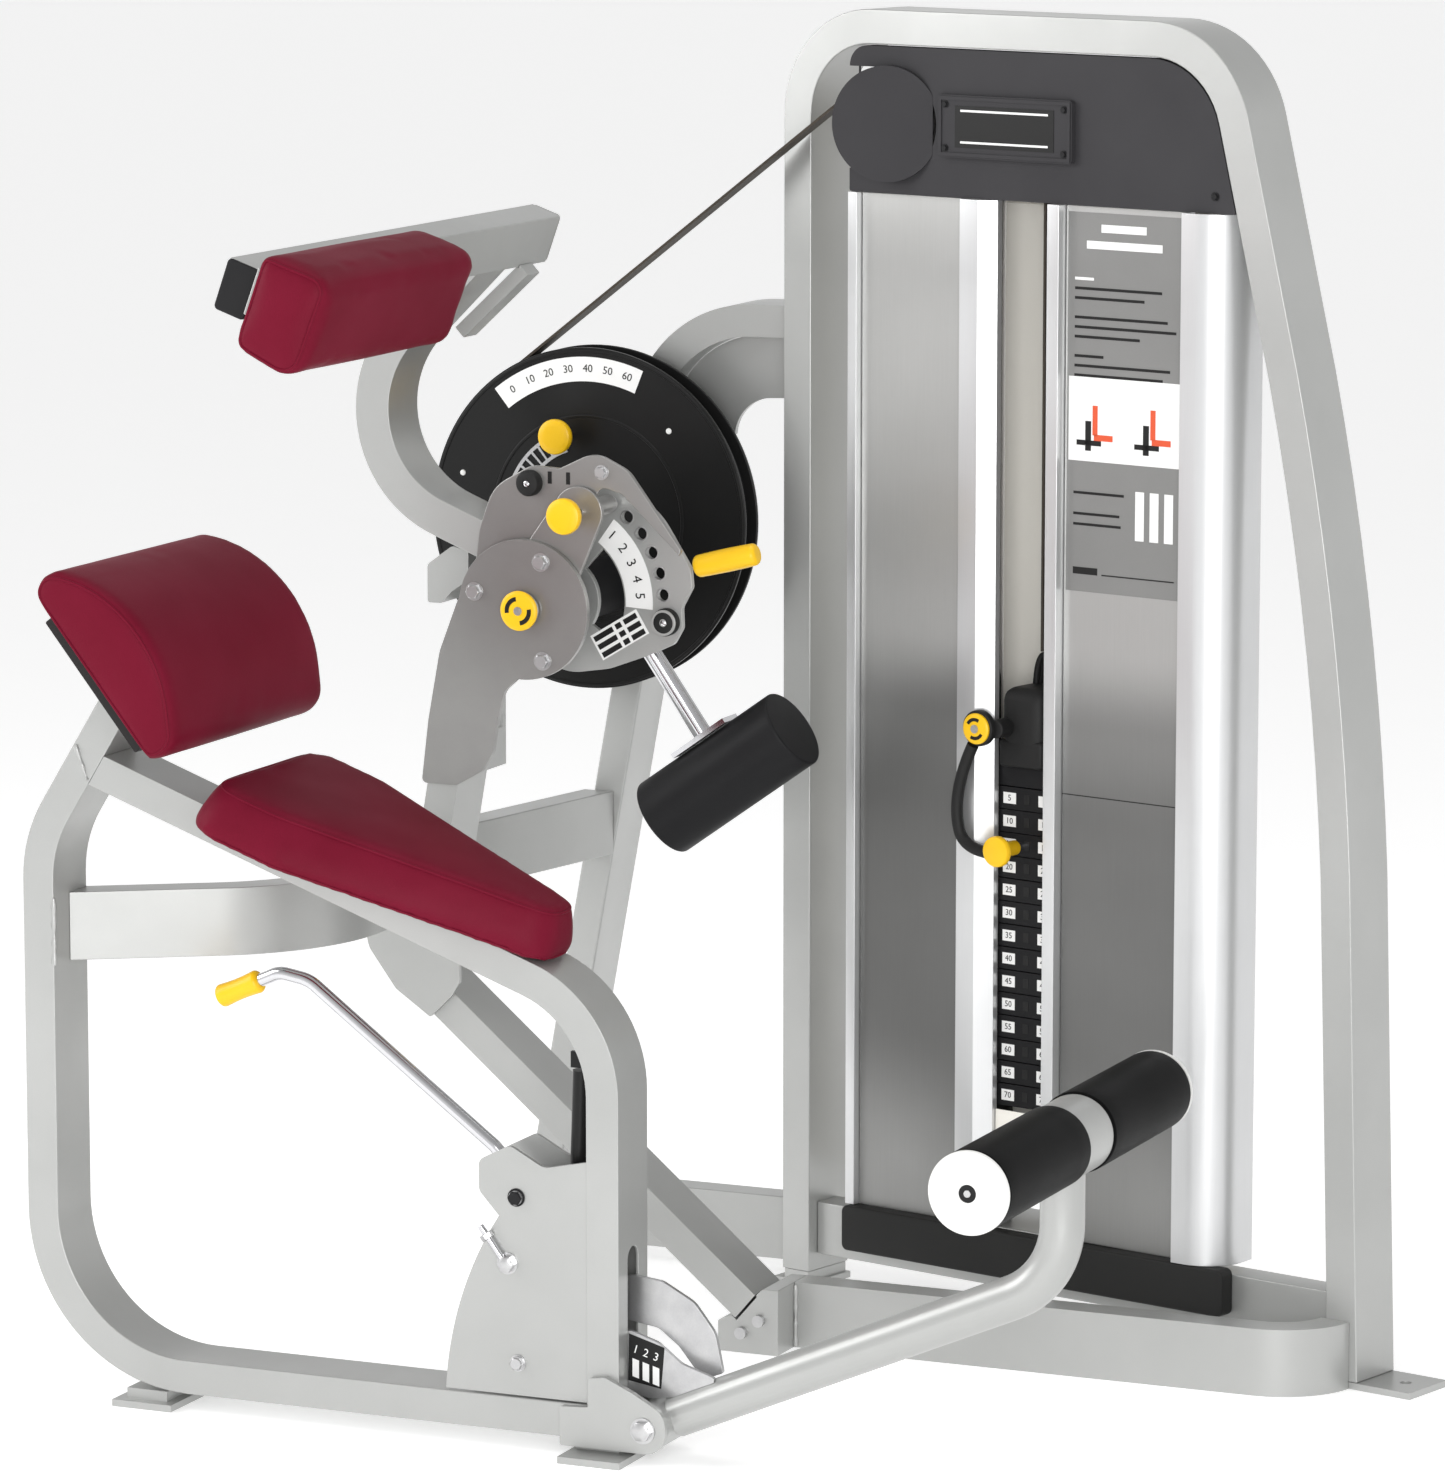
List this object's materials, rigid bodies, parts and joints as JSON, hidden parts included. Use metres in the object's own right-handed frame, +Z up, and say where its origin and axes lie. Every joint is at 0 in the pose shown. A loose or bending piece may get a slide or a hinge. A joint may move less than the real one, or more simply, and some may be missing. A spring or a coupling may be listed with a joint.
{
  "type": "seated back extension machine",
  "caption": "Seated trunk machine with a cam arm and back pad on a hub, a padded seat and lumbar roll, a pivoting foot roller and a belt-driven weight stack in an arched tower.",
  "frame": {"origin": "centre of the footprint, on the floor", "axes": "+X the way the user faces, +Y the user's left, towards the weight tower, +Z up"},
  "size_m": [1.4476, 1.161, 1.524],
  "materials": {
    "frame_steel": "satin silver powder coat",
    "dark_steel": "satin black powder coat",
    "cam_black": "satin black",
    "weight_black": "black enamel",
    "bright_steel": "polished",
    "zinc": "plated",
    "profile_aluminium": "satin anodised",
    "grey_cover": "matte",
    "panel_grey": "matte",
    "cream_panel": "matte",
    "burgundy_vinyl": "grained vinyl with piped seams",
    "pad_board": "black painted board",
    "black_rubber": "matte",
    "foam_black": "matte foam",
    "cap_white": "gloss",
    "grip_yellow": "semi gloss",
    "belt_black": "matte"
  },
  "bodies": {
    "frame": {"rear_upright": "frame_steel", "seat_rail": "frame_steel", "pivot_bracket": "frame_steel", "lever_housing": "frame_steel", "rear_cross_tube": "frame_steel", "near_post": "frame_steel", "strut": "frame_steel", "base_ring": "frame_steel", "far_post": "frame_steel", "rear_floor_rail": "frame_steel", "cross_beam": "frame_steel", "tower_brace": "frame_steel", "tower_frame": "frame_steel", "tower_sill": "frame_steel", "header_cover": "grey_cover", "front_panels": "panel_grey", "front_profiles": "profile_aluminium", "kick_panel": "grey_cover", "rear_cover": "cream_panel", "guide_rods": "bright_steel", "stack_bumpers": "black_rubber", "resting_plates": "weight_black", "pulley_hangers": "zinc", "belt_header": "belt_black", "hub_side_plate": "frame_steel", "hub_axle": "zinc", "seat_pad": "burgundy_vinyl", "lumbar_pad": "burgundy_vinyl", "lumbar_board": "pad_board", "pins_and_bolts": "zinc", "gas_spring_tube": "cam_black", "floor_feet": "frame_steel"},
    "arm": {"arm_cross_tube": "frame_steel", "arm_tube": "frame_steel", "arm_plate": "frame_steel", "range_plate": "frame_steel", "arm_hub": "frame_steel", "cam_disc": "cam_black", "counterweight": "weight_black", "counterweight_rod": "bright_steel", "arm_handle": "grip_yellow", "back_pad": "burgundy_vinyl"},
    "range_lever": {"range_lever": "frame_steel"},
    "range_pin": {"range_pin": "grip_yellow"},
    "start_pin": {"start_pin": "grip_yellow"},
    "stack": {"head_plate": "weight_black", "lifted_plates": "weight_black", "belt_drop": "belt_black", "pin_tether": "black_rubber"},
    "selector_pin": {"selector_pin": "grip_yellow"},
    "cam_side_pulley": {"cam_side_pulley": "grey_cover"},
    "stack_side_pulley": {"stack_side_pulley": "grey_cover"},
    "belt_span": {"belt_span": "belt_black"},
    "foot_arm": {"foot_arm": "frame_steel", "foot_quadrant": "zinc"},
    "foot_roller": {"foot_rollers": "foam_black", "roller_shaft": "cap_white"},
    "release_lever": {"release_lever": "bright_steel", "lever_grip": "grip_yellow"},
    "gas_spring_rod": {"gas_spring_rod": "bright_steel"}
  },
  "joints": [
    {"name": "arm_hinge", "type": "hinge", "parent": "frame", "child": "arm", "pos_m": [-0.3368, 0.3115, 0.848], "axis": [0, -1, 0], "range_deg": [0, 50]},
    {"name": "range_lever_hinge", "type": "hinge", "parent": "arm", "child": "range_lever", "pos_m": [-0.3368, 0.1545, 0.848], "axis": [0, -1, 0], "range_deg": [-55, 0]},
    {"name": "range_pin_pull", "type": "slide", "parent": "range_lever", "child": "range_pin", "axis": [0, -1, 0], "range_m": [0, 0.02], "stiffness_N_per_m": 400, "springref_m": -0.01},
    {"name": "start_pin_pull", "type": "slide", "parent": "arm", "child": "start_pin", "axis": [0, -1, 0], "range_m": [0, 0.012], "stiffness_N_per_m": 400, "springref_m": -0.01},
    {"name": "stack_lift", "type": "slide", "parent": "frame", "child": "stack", "axis": [0, 0, 1], "range_m": [0, 0.2405], "deforming": ["belt_drop"]},
    {"name": "selector_pin_pull", "type": "slide", "parent": "stack", "child": "selector_pin", "axis": [-0.2588, -0.9659, 0], "range_m": [0, 0.06]},
    {"name": "cam_side_pulley_spin", "type": "hinge", "parent": "frame", "child": "cam_side_pulley", "pos_m": [-0.0058, 0.4525, 1.394], "axis": [0, -1, 0], "range_deg": [0, 242.5]},
    {"name": "stack_side_pulley_spin", "type": "hinge", "parent": "frame", "child": "stack_side_pulley", "pos_m": [0.1292, 0.4525, 1.394], "axis": [0, -1, 0], "range_deg": [0, 242.5]},
    {"name": "belt_span_swing", "type": "hinge", "parent": "frame", "child": "belt_span", "pos_m": [-0.0058, 0.4525, 1.394], "axis": [0, -1, 0], "range_deg": [0, 2.45]},
    {"name": "foot_arm_hinge", "type": "hinge", "parent": "frame", "child": "foot_arm", "pos_m": [0.0322, -0.3005, 0.0386], "axis": [0, -1, 0], "range_deg": [-8, 10]},
    {"name": "foot_roller_spin", "type": "hinge", "parent": "foot_arm", "child": "foot_roller", "pos_m": [0.4972, -0.3005, 0.391], "axis": [0, 1, 0], "continuous": true},
    {"name": "release_lever_hinge", "type": "hinge", "parent": "frame", "child": "release_lever", "pos_m": [-0.1218, -0.3005, 0.28], "axis": [0, 1, 0], "range_deg": [0, 12]},
    {"name": "gas_spring_slide", "type": "slide", "parent": "frame", "child": "gas_spring_rod", "axis": [-0.0326, 0, -0.9995], "range_m": [-0.015, 0.018]}
  ],
  "couplings": [
    {"joint": "stack_lift", "follows": "arm_hinge", "m_per_rad": 0.2752},
    {"joint": "cam_side_pulley_spin", "follows": "arm_hinge", "ratio": 4.837},
    {"joint": "stack_side_pulley_spin", "follows": "arm_hinge", "ratio": 4.837},
    {"joint": "belt_span_swing", "follows": "arm_hinge", "ratio": 0.0484},
    {"joint": "gas_spring_slide", "follows": "foot_arm_hinge", "m_per_rad": 0.1}
  ]
}
